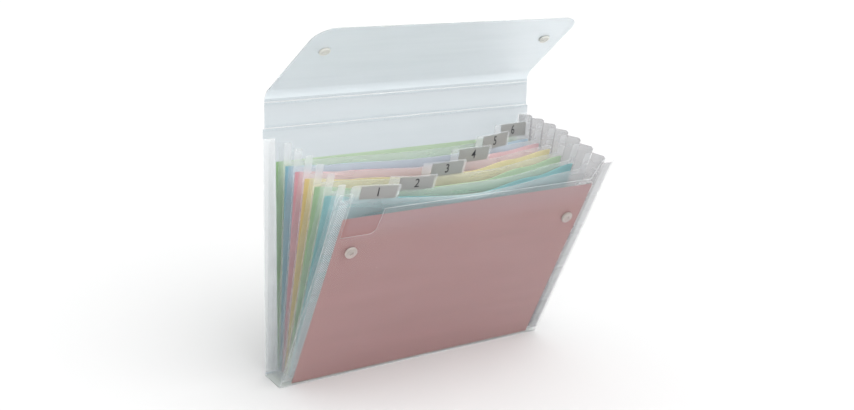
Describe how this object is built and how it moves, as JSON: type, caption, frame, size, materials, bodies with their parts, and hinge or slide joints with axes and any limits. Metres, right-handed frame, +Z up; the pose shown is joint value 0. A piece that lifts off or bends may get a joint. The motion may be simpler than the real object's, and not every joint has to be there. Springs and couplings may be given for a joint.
{
  "type": "expanding file folder",
  "caption": "Frosted clear expanding file standing open like a fan, with numbered index tabs, coloured card in its pockets, pleated sides and a press-stud flap",
  "frame": {"origin": "middle of the base panel's underside, on the floor", "axes": "X to the right seen from the front, Y to the back, Z up; the front cover faces -Y"},
  "size_m": [0.324, 0.1471, 0.3592],
  "materials": {
    "frosted_sheet": "frosted clear polypropylene sheet, soft gloss",
    "frosted_wall": "thin frosted clear polypropylene, fine grain",
    "gusset_film": "thin frosted clear polypropylene film, folded",
    "weld_flange": "film with a knurled ultrasonic weld",
    "index_label": "plain grey printed card, matt",
    "stud_clear": "moulded clear plastic, glossy",
    "stud_cream": "moulded cream plastic, soft gloss",
    "card_rose": "coloured A4 card, matt",
    "card_teal": "coloured A4 card, matt",
    "card_green": "coloured A4 card, matt",
    "card_yellow": "coloured A4 card, matt",
    "card_pink": "coloured A4 card, matt",
    "card_blue": "coloured A4 card, matt",
    "card_leaf": "coloured A4 card, matt"
  },
  "bodies": {
    "back": {"back_cover": "frosted_sheet", "base_panel": "frosted_sheet", "sheet_7": "card_leaf", "back_flange_left": "weld_flange", "back_flange_right": "weld_flange"},
    "wall_6": {"divider_6": "frosted_wall", "tab_label_6": "index_label", "sheet_6": "card_blue", "left_pleat_7": "gusset_film", "right_pleat_7": "gusset_film"},
    "wall_5": {"divider_5": "frosted_wall", "tab_label_5": "index_label", "sheet_5": "card_pink", "left_pleat_6": "gusset_film", "right_pleat_6": "gusset_film"},
    "wall_4": {"divider_4": "frosted_wall", "tab_label_4": "index_label", "sheet_4": "card_yellow", "left_pleat_5": "gusset_film", "right_pleat_5": "gusset_film"},
    "wall_3": {"divider_3": "frosted_wall", "tab_label_3": "index_label", "sheet_3": "card_green", "left_pleat_4": "gusset_film", "right_pleat_4": "gusset_film"},
    "wall_2": {"divider_2": "frosted_wall", "tab_label_2": "index_label", "sheet_2": "card_teal", "left_pleat_3": "gusset_film", "right_pleat_3": "gusset_film"},
    "wall_1": {"divider_1": "frosted_wall", "tab_label_1": "index_label", "left_pleat_2": "gusset_film", "right_pleat_2": "gusset_film"},
    "front": {"front_cover": "frosted_sheet", "sheet_1": "card_rose", "front_flange_left": "weld_flange", "front_flange_right": "weld_flange", "front_stud_left": "stud_clear", "front_stud_right": "stud_clear", "front_washer_left": "stud_clear", "front_washer_right": "stud_clear", "left_pleat_1": "gusset_film", "right_pleat_1": "gusset_film"},
    "spine": {"spine": "frosted_sheet"},
    "flap": {"flap": "frosted_sheet", "flap_stud_left": "stud_cream", "flap_stud_right": "stud_cream", "flap_cap_left": "stud_cream", "flap_cap_right": "stud_cream"}
  },
  "joints": [
    {"name": "spine_fold", "type": "hinge", "parent": "back", "child": "spine", "pos_m": [0, 0.04492, 0.24655], "axis": [1, 0, 0], "range_deg": [-27.05, 90.05]},
    {"name": "flap_fold", "type": "hinge", "parent": "spine", "child": "flap", "pos_m": [0, 0.04797, 0.27137], "axis": [1, 0, 0], "range_deg": [-95, 36.4]},
    {"name": "pocket_7_open", "type": "hinge", "parent": "back", "child": "wall_6", "pos_m": [0, -0.0147, 0.0004], "axis": [1, 0, 0], "range_deg": [-4, 1.2], "deforming": ["left_pleat_7", "right_pleat_7"]},
    {"name": "pocket_6_open", "type": "hinge", "parent": "wall_6", "child": "wall_5", "pos_m": [0, -0.0147, 0.0004], "axis": [1, 0, 0], "range_deg": [-4.01, 1.21], "deforming": ["left_pleat_6", "right_pleat_6"]},
    {"name": "pocket_5_open", "type": "hinge", "parent": "wall_5", "child": "wall_4", "pos_m": [0, -0.0147, 0.0004], "axis": [1, 0, 0], "range_deg": [-4.01, 1.21], "deforming": ["left_pleat_5", "right_pleat_5"]},
    {"name": "pocket_4_open", "type": "hinge", "parent": "wall_4", "child": "wall_3", "pos_m": [0, -0.0147, 0.0004], "axis": [1, 0, 0], "range_deg": [-4.01, 1.21], "deforming": ["left_pleat_4", "right_pleat_4"]},
    {"name": "pocket_3_open", "type": "hinge", "parent": "wall_3", "child": "wall_2", "pos_m": [0, -0.0147, 0.0004], "axis": [1, 0, 0], "range_deg": [-4.01, 1.21], "deforming": ["left_pleat_3", "right_pleat_3"]},
    {"name": "pocket_2_open", "type": "hinge", "parent": "wall_2", "child": "wall_1", "pos_m": [0, -0.0147, 0.0004], "axis": [1, 0, 0], "range_deg": [-4.01, 1.21], "deforming": ["left_pleat_2", "right_pleat_2"]},
    {"name": "pocket_1_open", "type": "hinge", "parent": "wall_1", "child": "front", "pos_m": [0, -0.0147, 0.0004], "axis": [1, 0, 0], "range_deg": [-4.01, 1.21], "deforming": ["left_pleat_1", "right_pleat_1"]}
  ],
  "couplings": [
    {"joint": "pocket_6_open", "follows": "pocket_7_open", "ratio": 1},
    {"joint": "pocket_5_open", "follows": "pocket_7_open", "ratio": 1},
    {"joint": "pocket_4_open", "follows": "pocket_7_open", "ratio": 1},
    {"joint": "pocket_3_open", "follows": "pocket_7_open", "ratio": 1},
    {"joint": "pocket_2_open", "follows": "pocket_7_open", "ratio": 1},
    {"joint": "pocket_1_open", "follows": "pocket_7_open", "ratio": 1},
    {"joint": "spine_fold", "follows": "pocket_7_open", "ratio": -22.5}
  ]
}
